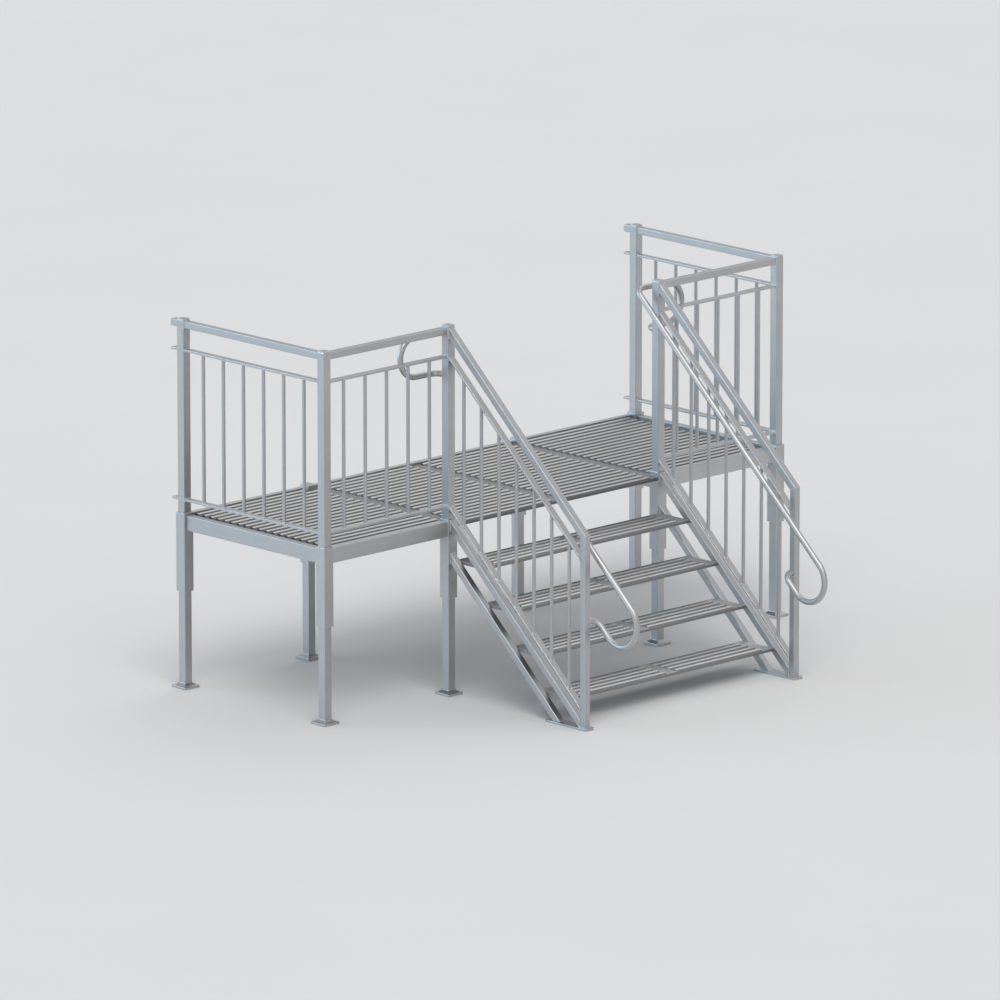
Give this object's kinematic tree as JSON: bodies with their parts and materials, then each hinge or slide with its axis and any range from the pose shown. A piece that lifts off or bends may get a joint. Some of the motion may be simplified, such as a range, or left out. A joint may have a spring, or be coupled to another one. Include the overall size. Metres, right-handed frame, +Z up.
{
  "type": "fire escape stair",
  "caption": "Raised aluminium landing with guards and telescoping legs, and a short guarded flight with looped handrails, for a building exit.",
  "frame": {"origin": "ground level under the middle of the overall box", "axes": "+X along the landing, +Y from the flight towards the building, +Z up"},
  "size_m": [3.62, 2.6215, 2.1],
  "materials": {
    "frame_tube": "satin",
    "sleeve_leg": "satin",
    "deck_plank": "satin, ribbed",
    "handrail_tube": "smooth satin"
  },
  "bodies": {
    "platform": {"front_sleeves": "sleeve_leg", "back_sleeves": "sleeve_leg", "post_front_left": "frame_tube", "post_stair_left": "frame_tube", "post_stair_right": "frame_tube", "post_front_right": "frame_tube", "post_back_left": "frame_tube", "post_back_right": "frame_tube", "left_end_beam": "frame_tube", "right_end_beam": "frame_tube", "left_cross_beam": "frame_tube", "right_cross_beam": "frame_tube", "left_front_beam": "frame_tube", "right_front_beam": "frame_tube", "left_back_beam": "frame_tube", "middle_back_beam": "frame_tube", "right_back_beam": "frame_tube", "left_deck": "deck_plank", "middle_deck": "deck_plank", "right_deck": "deck_plank", "left_end_guard": "frame_tube", "right_end_guard": "frame_tube", "left_front_guard": "frame_tube", "right_front_guard": "frame_tube", "left_upper_stringer": "frame_tube", "left_lower_stringer": "frame_tube", "right_upper_stringer": "frame_tube", "right_lower_stringer": "frame_tube", "tread_1": "deck_plank", "tread_2": "deck_plank", "tread_3": "deck_plank", "tread_4": "deck_plank", "left_newel": "frame_tube", "right_newel": "frame_tube", "left_stair_guard": "frame_tube", "right_stair_guard": "frame_tube", "left_handrail": "handrail_tube", "right_handrail": "handrail_tube"},
    "leg_front_left": {"leg_front_left": "sleeve_leg"},
    "leg_stair_left": {"leg_stair_left": "sleeve_leg"},
    "leg_stair_right": {"leg_stair_right": "sleeve_leg"},
    "leg_front_right": {"leg_front_right": "sleeve_leg"},
    "leg_back_left": {"leg_back_left": "sleeve_leg"},
    "leg_mid_back_left": {"leg_mid_back_left": "sleeve_leg"},
    "leg_mid_back_right": {"leg_mid_back_right": "sleeve_leg"},
    "leg_back_right": {"leg_back_right": "sleeve_leg"}
  },
  "joints": [
    {"name": "front_left_slide", "type": "slide", "parent": "platform", "child": "leg_front_left", "axis": [0, 0, 1], "range_m": [-0.1, 0.1]},
    {"name": "stair_left_slide", "type": "slide", "parent": "platform", "child": "leg_stair_left", "axis": [0, 0, 1], "range_m": [-0.1, 0.1]},
    {"name": "stair_right_slide", "type": "slide", "parent": "platform", "child": "leg_stair_right", "axis": [0, 0, 1], "range_m": [-0.1, 0.1]},
    {"name": "front_right_slide", "type": "slide", "parent": "platform", "child": "leg_front_right", "axis": [0, 0, 1], "range_m": [-0.1, 0.1]},
    {"name": "back_left_slide", "type": "slide", "parent": "platform", "child": "leg_back_left", "axis": [0, 0, 1], "range_m": [-0.1, 0.1]},
    {"name": "mid_back_left_slide", "type": "slide", "parent": "platform", "child": "leg_mid_back_left", "axis": [0, 0, 1], "range_m": [-0.1, 0.1]},
    {"name": "mid_back_right_slide", "type": "slide", "parent": "platform", "child": "leg_mid_back_right", "axis": [0, 0, 1], "range_m": [-0.1, 0.1]},
    {"name": "back_right_slide", "type": "slide", "parent": "platform", "child": "leg_back_right", "axis": [0, 0, 1], "range_m": [-0.1, 0.1]}
  ]
}
